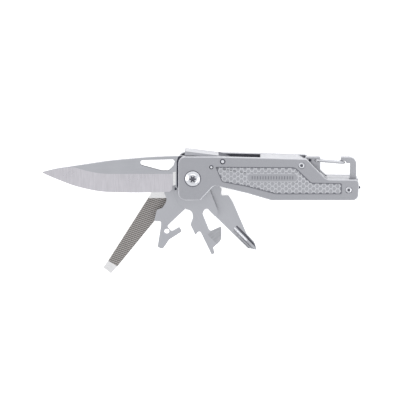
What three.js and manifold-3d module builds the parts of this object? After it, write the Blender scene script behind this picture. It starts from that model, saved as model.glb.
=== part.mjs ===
// A folding multi tool: knife blade open, four small tools fanned out below the pivot, and a
// carabiner hook with a wire gate at the tail of the handle.
//
// Frame (millimetres): the tool lies on its back. +X runs from the pivot to the tail, +Y to the spine
// of the handle, +Z to the front scale. The origin is on the main pivot axis, at the back face.

import * as THREE from 'three';
import { mergeVertices } from 'three/addons/utils/BufferGeometryUtils.js';
import Module from 'manifold-3d';

const wasm = await Module();
wasm.setup();

// ---- driving dimensions -------------------------------------------------------------------

const scaleThickness = 2.4;
const overallThickness = 17.0;
const innerBack = scaleThickness;
const innerFront = overallThickness - scaleThickness;
const seatGap = 0.05;

// Each folding layer as [back face, front face] along Z.
const layer = {
  file: [2.75, 4.85],
  driver: [5.2, 7.8],
  bottle: [8.05, 9.75],
  can: [10.0, 11.7],
  blade: [12.05, 14.25],
};
const hookLayer = [7.2, 11.2];

const tangRadius = 10.5;
const tangBore = 2.65;
const washerRadius = 4.6;
const barrelRadius = 2.5;
const barrelHeadRadius = 4.2;
const barrelHeadDepth = 1.0;
const barrelBore = 1.6;
const pivotHeadRadius = 4.4;
const pivotHeadHeight = 1.2;
const driveSocketRadius = 1.75;
const driveSocketDepth = 0.9;

const stopPinAt = [10.7, 6.7];
const stopPinRadius = 1.1;
const leverPinAt = [17.2, 10.0];
const leverPinRadius = 1.5;
const upperScrewAt = [62.5, 7.7];
const tailScrewAt = [89.7, -6.6];
const screwHeadRadius = 1.95;
const screwHeadDepth = 0.9;
const screwShankRadius = 1.0;
const screwShankLength = 5.0;
const standoffRadius = 1.7;
const pinClearance = 0.1;

const panelDepth = 0.35;
const scaleChamfer = 0.45;

const gateHingeAt = [70.9, 9.7];
const gateSpareHoleAt = [67.5, 9.7];
const gateEndAt = [87.0, 8.3];
const gateWireRadius = 0.7;
const gateHoleRadius = 0.85;
const gateFaceGap = 0.15;

// The notch that strips wire: a bore across the front face of the bottle opener.
const stripNotchAt = [-15.0, -32.3];
const stripNotchRadius = 1.5;

// The flutes that shape the driver's tip, along the line from its shoulder to its point.
const driverAxis = [[22.6, -28.6], [36.9, -43.9]];
const fluteRadius = 1.25;
const fluteLength = 24;
const fluteLift = 0.55;
const fluteTilt = 0.05;

// The flat screwdriver edge ground on the end of the file.
const fileEndAxis = [[-46.6, -52.6], [-50.0, -56.9]];
const fileGrindSize = [9, 12, 2];
const fileGrindLift = 0.55;
const fileGrindTilt = 0.12;

const spikeRadius = 1.5;
const spikeAt = [95.3, -6.5, 9.2];
const spikeReach = 1.5;

const roundSegments = 20;

// ---- materials ----------------------------------------------------------------------------

const finish = {
  mattSteel: { color: 0xa9a9ad, roughness: 0.55, metalness: 0.85 },
  satinSteel: { color: 0xb2b6bc, roughness: 0.4, metalness: 0.95 },
  bladeSteel: { color: 0xbdbcc0, roughness: 0.32, metalness: 1.0 },
  fileSteel: { color: 0x96918c, roughness: 0.6, metalness: 0.85 },
  polished: { color: 0xdcdcde, roughness: 0.15, metalness: 1.0 },
  spineSteel: { color: 0xd2d2d4, roughness: 0.35, metalness: 0.95 },
  darkSteel: { color: 0x5f5f5a, roughness: 0.5, metalness: 0.8 },
  bronze: { color: 0xa07a4a, roughness: 0.4, metalness: 0.9 },
};

// ---- geometry helpers ---------------------------------------------------------------------

// A closed outline from corners [x, y, radius]; each corner is rounded by a true arc.
function roundedShape(corners) {
  const shape = new THREE.Shape();
  corners.forEach(([x, y, radius = 0], i) => {
    const corner = new THREE.Vector2(x, y);
    const before = corners[(i + corners.length - 1) % corners.length];
    const after = corners[(i + 1) % corners.length];
    const toBefore = new THREE.Vector2(before[0] - x, before[1] - y).normalize();
    const toAfter = new THREE.Vector2(after[0] - x, after[1] - y).normalize();
    const half = Math.acos(THREE.MathUtils.clamp(toBefore.dot(toAfter), -1, 1)) / 2;
    const moveOrLine = (p) => (i === 0 ? shape.moveTo(p.x, p.y) : shape.lineTo(p.x, p.y));
    if (radius === 0) {
      moveOrLine(corner);
      return;
    }
    const reach = radius / Math.tan(half);
    const start = corner.clone().addScaledVector(toBefore, reach);
    const end = corner.clone().addScaledVector(toAfter, reach);
    const inward = toBefore.clone().add(toAfter).normalize();
    const centre = corner.clone().addScaledVector(inward, radius / Math.sin(half));
    const clockwise = toBefore.cross(toAfter) > 0;
    const angle = (p) => Math.atan2(p.y - centre.y, p.x - centre.x);
    moveOrLine(start);
    shape.absarc(centre.x, centre.y, radius, angle(start), angle(end), clockwise);
  });
  shape.closePath();
  return shape;
}

// A flat plate between two heights; chamfer is taken off both faces inside the outline.
function plate(shape, [bottom, top], { chamfer = 0, curveSegments = 2 } = {}) {
  const geometry = new THREE.ExtrudeGeometry(shape, {
    depth: top - bottom - 2 * chamfer,
    curveSegments,
    bevelEnabled: chamfer > 0,
    bevelThickness: chamfer,
    bevelSize: chamfer,
    bevelOffset: -chamfer,
    bevelSegments: 1,
  });
  return geometry.translate(0, 0, bottom + chamfer);
}

// A solid of revolution about the Z axis through (x, y), from [radius, z] points on and off the axis.
function turned(profile, [x, y] = [0, 0], segments = roundSegments) {
  const points = profile.map(([radius, z]) => new THREE.Vector2(radius, z));
  const geometry = new THREE.LatheGeometry(points, segments);
  return geometry.rotateX(Math.PI / 2).translate(x, y, 0);
}

function cylinder([x, y], radius, [bottom, top], segments = roundSegments) {
  return turned([[0, bottom], [radius, bottom], [radius, top], [0, top]], [x, y], segments);
}

function box([x0, y0, z0], [x1, y1, z1]) {
  return new THREE.BoxGeometry(x1 - x0, y1 - y0, z1 - z0)
    .translate((x0 + x1) / 2, (y0 + y1) / 2, (z0 + z1) / 2);
}

function toSolid(geometry) {
  const bare = geometry.clone();
  bare.deleteAttribute('normal');
  bare.deleteAttribute('uv');
  const merged = mergeVertices(bare, 1e-5);
  const kept = [];
  const index = merged.index.array;
  for (let i = 0; i < index.length; i += 3) {
    const [a, b, c] = index.slice(i, i + 3);
    if (a !== b && b !== c && c !== a) kept.push(a, b, c);
  }
  return new wasm.Manifold(new wasm.Mesh({
    numProp: 3,
    vertProperties: new Float32Array(merged.attributes.position.array),
    triVerts: new Uint32Array(kept),
  }));
}

function toGeometry(solid) {
  const mesh = solid.getMesh();
  const geometry = new THREE.BufferGeometry();
  geometry.setAttribute('position', new THREE.BufferAttribute(mesh.vertProperties, 3));
  geometry.setIndex(new THREE.BufferAttribute(mesh.triVerts, 1));
  return geometry;
}

function cut(geometry, ...tools) {
  return toGeometry(tools.reduce((solid, tool) => solid.subtract(toSolid(tool)), toSolid(geometry)));
}

function join(geometry, ...others) {
  return toGeometry(others.reduce((solid, other) => solid.add(toSolid(other)), toSolid(geometry)));
}

// A skin through rings of equal length, closed by a fan at each end. Rings run anticlockwise as seen
// looking back along the direction in which they follow each other.
function loft(rings) {
  const ringSize = rings[0].length;
  const index = [];
  for (let r = 0; r + 1 < rings.length; r += 1) {
    for (let i = 0; i < ringSize; i += 1) {
      const next = (i + 1) % ringSize;
      const [a, b] = [r * ringSize + i, r * ringSize + next];
      index.push(a, b, b + ringSize, a, b + ringSize, a + ringSize);
    }
  }
  const last = (rings.length - 1) * ringSize;
  for (let i = 1; i + 1 < ringSize; i += 1) {
    index.push(0, i + 1, i);
    index.push(last, last + i, last + i + 1);
  }
  const geometry = new THREE.BufferGeometry();
  geometry.setAttribute('position', new THREE.Float32BufferAttribute(rings.flat(2), 3));
  geometry.setIndex(index);
  return geometry;
}

// The height of a smooth curve through [x, y] points, read at any x between the first and the last.
function heightCurve(points) {
  const curve = new THREE.SplineCurve(points.map(([x, y]) => new THREE.Vector2(x, y)));
  const samples = curve.getPoints(points.length * 12);
  return (x) => {
    const at = samples.findIndex((p) => p.x >= x);
    if (at <= 0) return samples[at === 0 ? 0 : samples.length - 1].y;
    const [left, right] = [samples[at - 1], samples[at]];
    return THREE.MathUtils.mapLinear(x, left.x, right.x, left.y, right.y);
  };
}

function arcCorners(radius, fromDegrees, toDegrees, steps) {
  return Array.from({ length: steps + 1 }, (_, i) => {
    const angle = THREE.MathUtils.degToRad(fromDegrees + ((toDegrees - fromDegrees) * i) / steps);
    return [radius * Math.cos(angle), radius * Math.sin(angle)];
  });
}

function sixLobeSocket([x, y], [bottom, top]) {
  const shape = new THREE.Shape();
  const steps = 36;
  for (let i = 0; i < steps; i += 1) {
    const angle = (i / steps) * Math.PI * 2;
    const radius = driveSocketRadius * (0.84 + 0.16 * Math.cos(6 * angle));
    const point = [x + radius * Math.cos(angle), y + radius * Math.sin(angle)];
    if (i === 0) shape.moveTo(...point);
    else shape.lineTo(...point);
  }
  shape.closePath();
  return plate(shape, [bottom, top]);
}

// ---- handle -------------------------------------------------------------------------------

const scaleCorners = [
  [-8.3, 12.9, 3.9], [-8.3, -12.7, 4.1], [4.3, -12.7, 1.4], [12.3, -3.85, 3.0],
  [31.3, -8.55, 20], [45.4, -12.8, 8], [95.3, -12.8, 3.2], [95.6, -0.75, 2.4],
  [76.85, -0.6, 4.5], [65.3, 11.45, 2.2], [17, 12.7],
];

const panelCorners = [
  [12.9, 7.0, 0.6], [58.9, 6.7, 4], [68.2, -2.3, 2], [85.8, -2.6, 1], [85.8, -9.1, 1],
  [47.6, -9.1, 8], [31.2, -4.7, 20], [16.8, -2.0, 2],
];

function scaleBlank(span) {
  return plate(roundedShape(scaleCorners), span, { chamfer: scaleChamfer });
}

function throughHole(at, radius) {
  return cylinder(at, radius, [-1, overallThickness + 2]);
}

function scaleHoles() {
  return [
    throughHole(stopPinAt, stopPinRadius + pinClearance),
    throughHole(leverPinAt, leverPinRadius + pinClearance),
    throughHole(upperScrewAt, screwShankRadius + pinClearance),
    throughHole(tailScrewAt, screwShankRadius + pinClearance),
    throughHole([0, 0], tangBore),
  ];
}

function frontScale() {
  const face = overallThickness;
  const headSeat = [face - screwHeadDepth - seatGap, face + 1];
  const recess = plate(roundedShape(panelCorners), [face - panelDepth, face + 1]);
  return cut(
    scaleBlank([innerFront, face]),
    ...scaleHoles(),
    recess,
    cylinder(upperScrewAt, screwHeadRadius + pinClearance, headSeat),
    cylinder(tailScrewAt, screwHeadRadius + pinClearance, headSeat),
  );
}

function backScale() {
  const headSeat = [-1, screwHeadDepth + seatGap];
  const recess = plate(roundedShape(panelCorners), [-1, panelDepth]);
  return cut(
    scaleBlank([0, innerBack]),
    ...scaleHoles(),
    recess,
    cylinder(upperScrewAt, screwHeadRadius + pinClearance, headSeat),
    cylinder(tailScrewAt, screwHeadRadius + pinClearance, headSeat),
    cylinder([0, 0], barrelHeadRadius + pinClearance, [-1, barrelHeadDepth + seatGap]),
  );
}

const backspacerCorners = [
  [38.9, 7.7], [38.9, 11.85, 0.4], [60.2, 11.6, 2], [64.2, 10.2, 1.5], [65.7, 7.6, 1.5],
  [64.4, 4.7, 1.5], [60.3, 4.7, 1.5], [57.6, 7.5, 2],
];
const springSeatY = [8.15, 9.0];
const springSpanZ = [5.0, 12.0];

function backspacer() {
  const body = plate(roundedShape(backspacerCorners), [innerBack + seatGap, innerFront - seatGap]);
  const tongueSlot = box(
    [57.0, 3.0, hookLayer[0] - seatGap], [67.0, 10.45, hookLayer[1] + seatGap],
  );
  const springSlot = box(
    [38.0, springSeatY[0], springSpanZ[0] - seatGap], [43.1, springSeatY[1], springSpanZ[1] + seatGap],
  );
  return cut(body, throughHole(upperScrewAt, standoffRadius + pinClearance), tongueSlot, springSlot);
}

function lockSpring() {
  const thickness = 0.6;
  const low = (springSeatY[0] + springSeatY[1] - thickness) / 2;
  return box([19.9, low, springSpanZ[0]], [43.0, low + thickness, springSpanZ[1]]);
}

// The plate that carries the carabiner: a tongue held by the upper screws, an arm along the tail,
// and the open hook above it.
const hookCorners = [
  [58.2, 10.3, 1], [64.6, 10.3, 0.6], [65.2, 11.6, 0.6], [73.4, 11.6, 0.6], [73.4, 2.4, 3],
  [77.2, -0.7, 4], [90.6, -0.7, 1.3], [90.6, 8.05, 0.6], [88.5, 8.05, 0.5], [87.8, 9.25, 0.4],
  [85.1, 9.75, 0.4], [85.3, 11.5, 0.7], [94.3, 11.5, 4.2], [94.3, -0.9, 0.4], [95.3, -1.2, 0.7],
  [95.3, -11.9, 2.2], [84.5, -11.9, 2], [84.5, -5.0, 3], [71.5, -5.0, 3], [65.2, 4.5, 3],
  [58.2, 4.5, 1],
];

function hookPlate() {
  const body = plate(roundedShape(hookCorners), hookLayer, { chamfer: 0.25 });
  const spikeBore = new THREE.CylinderGeometry(spikeRadius + pinClearance,
    spikeRadius + pinClearance, 8, roundSegments)
    .rotateZ(Math.PI / 2)
    .translate(spikeAt[0] + 0.6, spikeAt[1], spikeAt[2]);
  return cut(
    body,
    throughHole(upperScrewAt, standoffRadius + pinClearance),
    throughHole(tailScrewAt, standoffRadius + pinClearance),
    throughHole(gateHingeAt, gateHoleRadius),
    throughHole(gateSpareHoleAt, gateHoleRadius),
    spikeBore,
  );
}

const tailSpacerCorners = [
  [77.4, -0.7, 0.6], [95.0, -0.9, 2], [95.0, -12.3, 3], [87.8, -12.3, 1], [87.8, -2.4, 1.5],
  [76.6, -2.3, 0.6],
];

function tailSpacer(span) {
  const body = plate(roundedShape(tailSpacerCorners), span);
  return cut(body, throughHole(tailScrewAt, standoffRadius + pinClearance));
}

// ---- fasteners ----------------------------------------------------------------------------

function standoff(at) {
  const [bottom, top] = [innerBack + seatGap, innerFront - seatGap];
  const bore = screwShankRadius + pinClearance;
  return cut(cylinder(at, standoffRadius, [bottom, top]), cylinder(at, bore, [0, overallThickness]));
}

// A small screw with a flush head; the socket is a hexagon. Side is 1 at the front, -1 at the back.
function smallScrew(at, side) {
  const face = side > 0 ? overallThickness : 0;
  const z = (depth) => face - side * depth;
  const profile = [
    [0, z(0)], [screwHeadRadius - 0.3, z(0)], [screwHeadRadius, z(0.3)],
    [screwHeadRadius, z(screwHeadDepth)], [screwShankRadius, z(screwHeadDepth)],
    [screwShankRadius, z(screwHeadDepth + screwShankLength)],
    [0, z(screwHeadDepth + screwShankLength)],
  ];
  const socket = cylinder(at, 0.95, side > 0 ? [z(0.6), z(-1)] : [z(-1), z(0.6)], 6);
  return cut(turned(side > 0 ? profile.reverse() : profile, at), socket);
}

function plainPin(at, radius) {
  const edge = 0.25;
  return turned([
    [0, 0], [radius - edge, 0], [radius, edge], [radius, overallThickness - edge],
    [radius - edge, overallThickness], [0, overallThickness],
  ], at);
}

function pivotBarrel() {
  const top = overallThickness - 0.4;
  const body = turned([
    [0, 0], [barrelHeadRadius - 0.3, 0], [barrelHeadRadius, 0.3],
    [barrelHeadRadius, barrelHeadDepth], [barrelRadius, barrelHeadDepth], [barrelRadius, top],
    [0, top],
  ]);
  return cut(body, cylinder([0, 0], barrelBore, [6, overallThickness]));
}

function pivotScrew() {
  const face = overallThickness;
  const shank = barrelBore - pinClearance;
  const body = turned([
    [0, 7], [shank, 7], [shank, face], [pivotHeadRadius, face],
    [pivotHeadRadius, face + 0.3], [pivotHeadRadius - 0.5, face + 0.8],
    [pivotHeadRadius - 1.6, face + pivotHeadHeight], [0, face + pivotHeadHeight],
  ]);
  const socketSpan = [face + pivotHeadHeight - driveSocketDepth, face + pivotHeadHeight + 1];
  return cut(body, sixLobeSocket([0, 0], socketSpan));
}

function pivotWasher(bottom, top) {
  const span = [bottom + seatGap, top - seatGap];
  return cut(cylinder([0, 0], washerRadius, span), cylinder([0, 0], tangBore, [bottom - 1, top + 1]));
}

// ---- blade --------------------------------------------------------------------------------

const bladeTipX = -86.6;
const plungeX = -16.5;
const spineY = heightCurve([
  [-86.7, 3.3], [-78, 5.4], [-69.3, 6.7], [-59.7, 8.2], [-48.2, 9.9], [-36.1, 11.1],
  [-22, 12.2], [-6.2, 12.7],
]);
const edgeY = heightCurve([
  [-86.7, 2.9], [-81.9, 0.6], [-71.3, -3.7], [-63.4, -6.1], [-54.8, -7.9], [-48.2, -8.5],
  [-36.1, -8.8], [-25.3, -8.7], [-13.7, -8.4],
]);
const grindY = heightCurve([
  [-86.7, 3.2], [-78, 5.1], [-69.3, 6.2], [-64.7, 5.2], [-59.7, 3.8], [-54.8, 2.9], [-48.2, 2.35],
  [-30, 2.35], [-13.7, 2.35],
]);
const thumbHoleCorners = [
  [-30.2, 10.3, 1.3], [-9.8, 10.9, 1.4], [-11.2, 6.6, 1.5], [-13.8, 4.1, 1.5], [-17.8, 4.1, 2],
  [-29.9, 7.4, 1.2],
];

// One cross-section of the ground blade: flats above the grind line, wedge down to the edge.
function bladeSection(x) {
  const [back, front] = layer.blade;
  const middle = (back + front) / 2;
  const edgeHalf = 0.12;
  const spine = spineY(x);
  const grind = Math.min(grindY(x), spine - 0.15);
  const edge = Math.min(edgeY(x), grind - 0.15);
  const tip = THREE.MathUtils.smoothstep(x, bladeTipX, bladeTipX + 16);
  const half = THREE.MathUtils.lerp(0.35, (front - back) / 2, tip);
  return [
    [x, spine, middle - half], [x, spine, middle + half], [x, grind, middle + half],
    [x, edge, middle + edgeHalf], [x, edge, middle - edgeHalf], [x, grind, middle - half],
  ];
}

function bladeTang() {
  const shoulder = arcCorners(12.4, 40, 88, 5);
  const disc = arcCorners(tangRadius, 203, 398, 16);
  return plate(roundedShape([
    [plungeX, 12.45], [plungeX, -8.35, 0.4], [-13.4, -8.35, 0.5], [-11.8, -7.0, 0.6],
    [-11.6, -4.6, 0.5], ...disc, ...shoulder, [-6.2, 12.7],
  ]), layer.blade);
}

function blade() {
  const stations = 40;
  const rings = Array.from({ length: stations + 1 }, (_, i) => {
    const along = (i / stations) ** 1.3;
    return bladeSection(THREE.MathUtils.lerp(bladeTipX, plungeX + 0.05, along));
  });
  const hole = plate(roundedShape(thumbHoleCorners), [layer.blade[0] - 1, layer.blade[1] + 1]);
  return cut(join(loft(rings), bladeTang()), hole, throughHole([0, 0], tangBore));
}

// ---- small tools --------------------------------------------------------------------------

const canCorners = [
  [-10.6, -9.1, 0.6], [-8.0, -15.6, 3], [-4.4, -18.6, 2], [-0.1, -20.0, 3], [0.1, -24.2, 3],
  [-1.3, -28.0, 2], [1.6, -34.1, 0.2], [4.0, -31.1, 1.1], [11.0, -45.8, 0.5], [12.7, -44.8, 0.5],
  [11.8, -41.6, 0.4], [16.6, -37.2, 4], [16.5, -29.2, 0.5], [9.8, -32.2, 1.4], [5.6, -21.6, 2],
  [6.8, -18.8, 1.8], [8.6, -18.6, 1], [13.6, -23.9, 0.8], [14.6, -20.0, 3], [11.3, -11.3, 6],
  [10.1, -8.4, 0.6],
];

const bottleCorners = [
  [-16.5, -9.6, 1], [-14.6, -14.0, 4], [-17.6, -18.8, 3], [-20.7, -19.6, 1.5],
  [-22.3, -26.2, 0.6], [-18.3, -26.4, 0.9], [-18.4, -29.5, 2], [-20.4, -41.6, 1],
  [-17.4, -42.8, 1], [-13.6, -37.2, 4], [-6.2, -32.4, 1], [-7.7, -29.9, 0.7],
  [-12.4, -32.6, 1.4], [-14.9, -29.3, 1.2], [-4.3, -19.0, 1], [-1.0, -12.2, 1],
];

const driverCorners = [
  [4.0, -12.6, 3], [13.6, -24.3, 2], [32.0, -42.8, 1], [37.2, -44.0, 0.5], [35.6, -39.2, 1],
  [31.2, -34.4, 1], [23.2, -15.8, 2], [20.6, -11.7, 1.5], [16.0, -11.9, 1.2], [16.8, -8.0, 0.8],
  [14.6, -5.6, 1.2],
];

const fileCorners = [
  [-24.9, -12.4], [-49.3, -51.1], [-52.1, -54.9], [-47.5, -58.5], [-43.8, -54.1],
  [-13.5, -16.3, 3],
];

// A tool blank: the working outline closed by the round tang, from angle to angle in degrees.
function toolBlank(corners, span, [tangFrom, tangTo], lead = []) {
  const tang = arcCorners(tangRadius, tangFrom, tangTo, 16);
  const body = plate(roundedShape([...corners, ...tang, ...lead]), span);
  return cut(body, throughHole([0, 0], tangBore));
}

// Turns a shape built along +X at the origin so that it runs from one point towards another.
function aimed(geometry, [x0, y0], [x1, y1], z) {
  return geometry.rotateZ(Math.atan2(y1 - y0, x1 - x0)).translate(x0, y0, z);
}

function canOpener() {
  return toolBlank(canCorners, layer.can, [-28, 200]);
}

function bottleOpener() {
  const [, front] = layer.bottle;
  const stripNotch = new THREE.CylinderGeometry(stripNotchRadius, stripNotchRadius, 6, 12)
    .rotateX(Math.PI / 2)
    .translate(...stripNotchAt, front);
  return cut(toolBlank(bottleCorners, layer.bottle, [-85, 175], [[-13.4, -4.6, 2]]), stripNotch);
}

function crossDriver() {
  const [back, front] = layer.driver;
  const flute = (side, face) => aimed(
    new THREE.CylinderGeometry(fluteRadius, fluteRadius, fluteLength, 8)
      .rotateZ(Math.PI / 2)
      .rotateX(Math.PI / 8)
      .rotateY(side * fluteTilt)
      .translate(fluteLength / 2 + 2, 0, side * fluteLift),
    ...driverAxis, face,
  );
  const blank = toolBlank(driverCorners, layer.driver, [-15, 275]);
  return cut(blank, flute(1, front), flute(-1, back));
}

function fileTool() {
  const [back, front] = layer.file;
  const ground = (side, face) => aimed(
    new THREE.BoxGeometry(...fileGrindSize)
      .rotateY(side * fileGrindTilt)
      .translate(fileGrindSize[0] / 2, 0, side * fileGrindLift),
    ...fileEndAxis, face,
  );
  const blank = toolBlank(fileCorners, layer.file, [245, 500], [[-20.5, -5.6, 4]]);
  return cut(blank, ground(1, front), ground(-1, back));
}

// ---- lock lever ---------------------------------------------------------------------------

function lockLever() {
  const underside = arcCorners(13.0, 40, 88, 6);
  const shape = roundedShape([
    [-4.6, 13.1], [-4.4, 15.6, 0.3], [14.8, 13.15, 1.5], [19.4, 11.9, 1], [21.2, 11.3, 0.5],
    [21.0, 9.75, 0.5], [19.4, 9.4, 0.5], [18.9, 7.3, 1.3], [15.2, 7.3, 1.5],
    [12.6, 8.9, 1.0],
    ...underside,
  ].reverse());
  return cut(
    plate(shape, [layer.file[0], layer.blade[1]]),
    throughHole(leverPinAt, leverPinRadius + pinClearance),
  );
}

// ---- carabiner gate and spike -------------------------------------------------------------

function wireGate() {
  const out = gateWireRadius + gateFaceGap;
  const [back, front] = [hookLayer[0] - out, hookLayer[1] + out];
  const inner = 1.5;
  const bend = 1.1;
  const [x0, y0] = gateHingeAt;
  const [x1, y1] = gateEndAt;
  const slope = (y1 - y0) / (x1 - x0);
  const path = new THREE.CurvePath();
  const points = [
    [x0, y0, hookLayer[1] - inner], [x0, y0, front - bend], [x0, y0, front],
    [x0 + bend, y0 + slope * bend, front], [x1 - bend, y1 - slope * bend, front], [x1, y1, front],
    [x1, y1, front - bend], [x1, y1, back + bend], [x1, y1, back],
    [x1 - bend, y1 - slope * bend, back], [x0 + bend, y0 + slope * bend, back], [x0, y0, back],
    [x0, y0, back + bend], [x0, y0, hookLayer[0] + inner],
  ].map((p) => new THREE.Vector3(...p));
  const cornersAt = new Set([2, 5, 8, 11]);
  for (let i = 0; i + 1 < points.length; i += 1) {
    if (cornersAt.has(i + 1)) {
      path.add(new THREE.QuadraticBezierCurve3(points[i], points[i + 1], points[i + 2]));
      i += 1;
    } else {
      path.add(new THREE.LineCurve3(points[i], points[i + 1]));
    }
  }
  const section = new THREE.Shape().absarc(0, 0, gateWireRadius, 0, Math.PI * 2, false);
  return new THREE.ExtrudeGeometry(section, {
    steps: 44, curveSegments: 4, bevelEnabled: false, extrudePath: path,
  });
}

function glassBreaker() {
  const buried = 3.4;
  const profile = [
    [0, -buried], [spikeRadius, -buried], [spikeRadius, 0], [0.3, spikeReach], [0, spikeReach],
  ].map(([r, h]) => new THREE.Vector2(r, h));
  return new THREE.LatheGeometry(profile, 16).rotateZ(-Math.PI / 2).translate(...spikeAt);
}

// ---- assembly -----------------------------------------------------------------------------

const multiTool = new THREE.Group();

function addPart(name, geometry, look) {
  const mesh = new THREE.Mesh(geometry, new THREE.MeshStandardMaterial(finish[look]));
  mesh.name = name;
  multiTool.add(mesh);
}

addPart('front_scale', frontScale(), 'mattSteel');
addPart('back_scale', backScale(), 'mattSteel');
addPart('backspacer', backspacer(), 'spineSteel');
addPart('hook_plate', hookPlate(), 'mattSteel');
addPart('tail_spacer_front', tailSpacer([hookLayer[1] + seatGap, innerFront - seatGap]), 'spineSteel');
addPart('tail_spacer_back', tailSpacer([innerBack + seatGap, hookLayer[0] - seatGap]), 'spineSteel');
addPart('lock_spring', lockSpring(), 'darkSteel');

addPart('pivot_barrel', pivotBarrel(), 'polished');
addPart('pivot_screw', pivotScrew(), 'polished');
addPart('stop_pin', plainPin(stopPinAt, stopPinRadius), 'polished');
addPart('lever_pin', plainPin(leverPinAt, leverPinRadius), 'polished');
for (const [name, at] of [['upper', upperScrewAt], ['tail', tailScrewAt]]) {
  addPart(`${name}_standoff`, standoff(at), 'satinSteel');
  addPart(`${name}_screw_front`, smallScrew(at, 1), 'polished');
  addPart(`${name}_screw_back`, smallScrew(at, -1), 'polished');
}

const stack = [innerBack, ...Object.values(layer).flat(), innerFront];
for (let i = 0; i < stack.length; i += 2) {
  addPart(`pivot_washer_${i / 2 + 1}`, pivotWasher(stack[i], stack[i + 1]), 'bronze');
}

addPart('blade', blade(), 'bladeSteel');
addPart('can_opener', canOpener(), 'satinSteel');
addPart('bottle_opener', bottleOpener(), 'satinSteel');
addPart('cross_driver', crossDriver(), 'satinSteel');
addPart('file', fileTool(), 'fileSteel');
addPart('lock_lever', lockLever(), 'spineSteel');
addPart('wire_gate', wireGate(), 'polished');
addPart('glass_breaker', glassBreaker(), 'darkSteel');

export default multiTool;
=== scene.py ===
# %% [markdown]
# # A folding multi tool, dressed
#
# The multi tool is steel all over: two bead-blasted scales screwed over a stack of folding tools, a knife
# blade, a lock lever along the spine, and a carabiner hook with a wire gate at the tail. The imported model
# already has every part at its full size, so this lesson only adds what a maker's hand would: soft edges,
# pressed texture, turned screw heads, ground bevels and the many finishes that one kind of metal can have.
#
# The first cell loads that model as a fixed frame. Lengths on the tool are written in millimetres and turned
# into metres where they are used. The room round it is written in metres.

# %% Load the frame
import math

import bpy
from mathutils import Matrix, Vector


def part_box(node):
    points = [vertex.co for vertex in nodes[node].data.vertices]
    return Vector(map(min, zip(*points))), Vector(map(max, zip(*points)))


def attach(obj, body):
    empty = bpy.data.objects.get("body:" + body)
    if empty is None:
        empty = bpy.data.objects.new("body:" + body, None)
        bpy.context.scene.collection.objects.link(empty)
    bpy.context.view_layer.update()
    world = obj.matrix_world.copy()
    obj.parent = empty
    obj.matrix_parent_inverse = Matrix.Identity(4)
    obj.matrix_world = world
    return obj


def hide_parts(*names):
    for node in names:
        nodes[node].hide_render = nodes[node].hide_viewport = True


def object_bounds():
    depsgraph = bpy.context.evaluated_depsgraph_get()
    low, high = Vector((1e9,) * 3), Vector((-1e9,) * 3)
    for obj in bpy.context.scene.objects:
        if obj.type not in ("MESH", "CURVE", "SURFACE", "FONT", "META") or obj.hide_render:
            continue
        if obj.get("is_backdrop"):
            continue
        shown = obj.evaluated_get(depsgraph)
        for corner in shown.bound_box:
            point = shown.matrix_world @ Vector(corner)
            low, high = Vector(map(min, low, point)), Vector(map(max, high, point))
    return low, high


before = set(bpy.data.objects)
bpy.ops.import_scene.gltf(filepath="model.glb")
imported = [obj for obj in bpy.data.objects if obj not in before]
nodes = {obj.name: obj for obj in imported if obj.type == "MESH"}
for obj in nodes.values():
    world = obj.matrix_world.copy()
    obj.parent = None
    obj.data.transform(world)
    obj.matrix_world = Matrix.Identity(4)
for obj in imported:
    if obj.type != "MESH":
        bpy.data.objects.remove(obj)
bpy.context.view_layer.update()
mm = 0.001

# %% [markdown]
# ## Where things are
#
# Places are read from the frame and never typed twice. The blade's layer, the faces of the two scales and
# the middles of the screws all come from the boxes of their nodes. A box gives two corners, so a small
# helper returns them in millimetres, and another gives the middle.

# %% Read places from the nodes
def span(node):
    low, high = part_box(node)
    return Vector(low) / mm, Vector(high) / mm


def middle(node):
    low, high = span(node)
    return (low + high) / 2


front_face = span("front_scale")[1].z
back_face = span("back_scale")[0].z
tool_middle = (front_face + back_face) / 2
panel_depth = 0.35
print("front face at", round(front_face, 2), "mm, back face at", round(back_face, 2), "mm")

# %% [markdown]
# ## Camera
#
# The tool lies on its back scale and is seen almost square on, from a little towards the spine of the
# handle, so that the bright top of the spine shows above the front scale. A long lens from two metres away
# keeps its lines parallel, as a catalogue view does. The camera's axes are written as a rotation matrix: its
# third column points back from the target, and the second one is up in the view.

# %% Camera
tilt = math.radians(11.2)
view_width = 230 * mm
camera_distance = 2.0
aim_at = Vector((4.2, -12.43, front_face)) * mm

camera_data = bpy.data.cameras.new("camera")
camera = bpy.data.objects.new("camera", camera_data)
bpy.context.scene.collection.objects.link(camera)
camera_data.sensor_width = 36
camera_data.lens = camera_data.sensor_width * camera_distance / view_width
camera_data.clip_end = 20
back = Vector((0, math.sin(tilt), math.cos(tilt)))
up = Vector((0, math.cos(tilt), -math.sin(tilt)))
camera.matrix_world = Matrix.Translation(aim_at + back * camera_distance) @ Matrix(
    (Vector((1, 0, 0)), up, back)
).transposed().to_4x4()
bpy.context.scene.camera = camera
print("lens", round(camera_data.lens), "mm")

# %% [markdown]
# ## Floor and light
#
# Metal shows what stands round it, so a plain room matters more than strong lamps. The floor is a wide pale
# sheet with a little light of its own, which keeps the shadows thin. Above it, the world is an even grey
# that gives the flat faces their middle tone, and four soft lamps put the brighter bands into the bevels
# and round edges: one over the spine, one over the blade's point, one low on the right, and a small weak
# one over the tail.

# %% Floor and light
def new_material(name):
    material = bpy.data.materials.new(name)
    material.use_nodes = True
    return material, material.node_tree.nodes, material.node_tree.links


def paint_floor(floor):
    material, tree, _ = new_material("floor_paint")
    shader = tree["Principled BSDF"]
    shader.inputs["Base Color"].default_value = (0.85, 0.85, 0.85, 1)
    shader.inputs["Roughness"].default_value = 0.9
    shader.inputs["Emission Color"].default_value = (1, 1, 1, 1)
    shader.inputs["Emission Strength"].default_value = 0.6
    floor.data.materials.append(material)


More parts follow.
